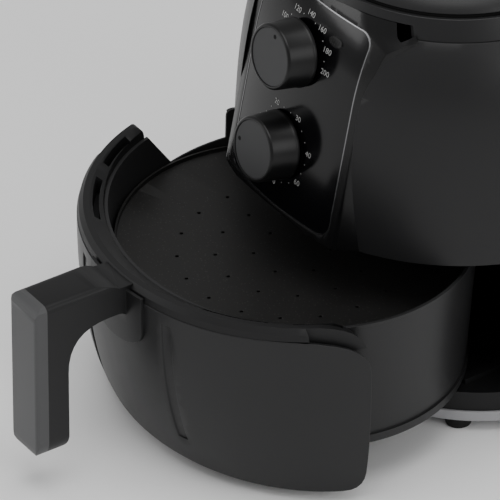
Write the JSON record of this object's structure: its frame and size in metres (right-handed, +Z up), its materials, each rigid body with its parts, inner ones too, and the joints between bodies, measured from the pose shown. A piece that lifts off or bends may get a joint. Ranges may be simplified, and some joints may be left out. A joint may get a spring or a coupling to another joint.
{
  "type": "air fryer",
  "caption": "Drawer air fryer: rounded upright housing with knobs on a sloping front, and a sliding pan drawer with a lift-out crisper tray and an upright handle.",
  "frame": {"origin": "centre of the whole machine's floor plan, with the drawer standing part way out, on the surface it stands on", "axes": "+X to the machine's right seen from its front, +Y towards its back, +Z up"},
  "size_m": [0.2784, 0.4592, 0.313],
  "materials": {
    "shell_black": "satin moulded shell",
    "lid_black": "satin moulded lid",
    "seal_black": "dull dark ring",
    "bezel_black": "semi-gloss moulding",
    "panel_gloss": "high gloss panel with printed dial marks",
    "trim_bright": "thin bright edge",
    "lens_clear": "ribbed frosted lens",
    "frame_black": "fine textured moulding",
    "base_grey": "light grey moulding",
    "foot_rubber": "dull rubber",
    "plated_steel": "zinc plated sheet",
    "bright_aluminium": "bright sheet",
    "element_steel": "heat-tinted tube",
    "copper_wire": "enamelled copper",
    "unit_plastic": "pale heat-proof plastic",
    "plunger_red": "red plastic",
    "shaft_steel": "ground steel",
    "knob_black": "satin barrel",
    "knob_grey": "spun grey face",
    "nonstick_grey": "non-stick coated steel",
    "nonstick_black": "non-stick coated steel",
    "drawer_black": "satin moulded front",
    "handle_black": "satin moulding",
    "handle_grey": "soft satin cover",
    "pad_silicone": "silicone rubber"
  },
  "bodies": {
    "housing": {"outer_shell": "shell_black", "top_cover": "lid_black", "top_collar": "shell_black", "top_ring": "seal_black", "panel_bezel": "bezel_black", "panel_plate": "panel_gloss", "panel_trim": "trim_bright", "indicator_lens": "lens_clear", "rear_outlet_grille": "frame_black", "cord_gland": "frame_black", "base_plate": "base_grey", "base_tray": "frame_black", "side_brackets": "frame_black", "drawer_rails": "frame_black", "rubber_feet": "foot_rubber", "base_screws": "plated_steel", "chamber_divider": "plated_steel", "heater_housing": "plated_steel", "heat_reflector": "bright_aluminium", "heating_element": "element_steel", "element_guard": "plated_steel", "motor_body": "plated_steel", "motor_windings": "copper_wire", "motor_bracket": "plated_steel", "thermostat_bulb": "copper_wire", "timer_unit": "unit_plastic", "timer_bell": "plated_steel", "thermostat_unit": "unit_plastic", "safety_switch": "unit_plastic", "terminal_block": "unit_plastic"},
    "drawer": {"pan": "nonstick_grey", "drawer_front": "drawer_black", "drawer_back": "frame_black", "drawer_frame": "frame_black", "handle_body": "handle_black", "handle_cover": "handle_grey", "handle_screws": "plated_steel"},
    "tray": {"crisper_tray": "nonstick_black", "tray_pads": "pad_silicone"},
    "fan_rotor": {"hot_air_fan": "bright_aluminium", "cooling_fan": "bright_aluminium", "motor_shaft": "shaft_steel"},
    "timer_dial": {"timer_knob": "knob_black", "timer_knob_face": "knob_grey", "timer_shaft": "shaft_steel"},
    "temperature_dial": {"temperature_knob": "knob_black", "temperature_knob_face": "knob_grey", "thermostat_shaft": "shaft_steel"},
    "plunger": {"switch_plunger": "plunger_red"}
  },
  "joints": [
    {"name": "drawer_slide", "type": "slide", "parent": "housing", "child": "drawer", "axis": [0, -1, 0], "range_m": [-0.118, 0.15]},
    {"name": "tray_lift", "type": "slide", "parent": "drawer", "child": "tray", "axis": [0, 0, 1], "range_m": [0, 0.03]},
    {"name": "fan_spin", "type": "hinge", "parent": "housing", "child": "fan_rotor", "pos_m": [0, 0.0884, 0.2], "axis": [0, 0, 1], "continuous": true},
    {"name": "timer_turn", "type": "hinge", "parent": "housing", "child": "timer_dial", "pos_m": [0, -0.0381, 0.186], "axis": [0, -0.9806, 0.1959], "range_deg": [-218, 91]},
    {"name": "temperature_turn", "type": "hinge", "parent": "housing", "child": "temperature_dial", "pos_m": [0, -0.02531, 0.25003], "axis": [0, -0.9806, 0.1959], "range_deg": [-88, 95]},
    {"name": "switch_press", "type": "slide", "parent": "housing", "child": "plunger", "axis": [0, 1, 0], "range_m": [0, 0.003], "stiffness_N_per_m": 300, "springref_m": -0.001}
  ]
}
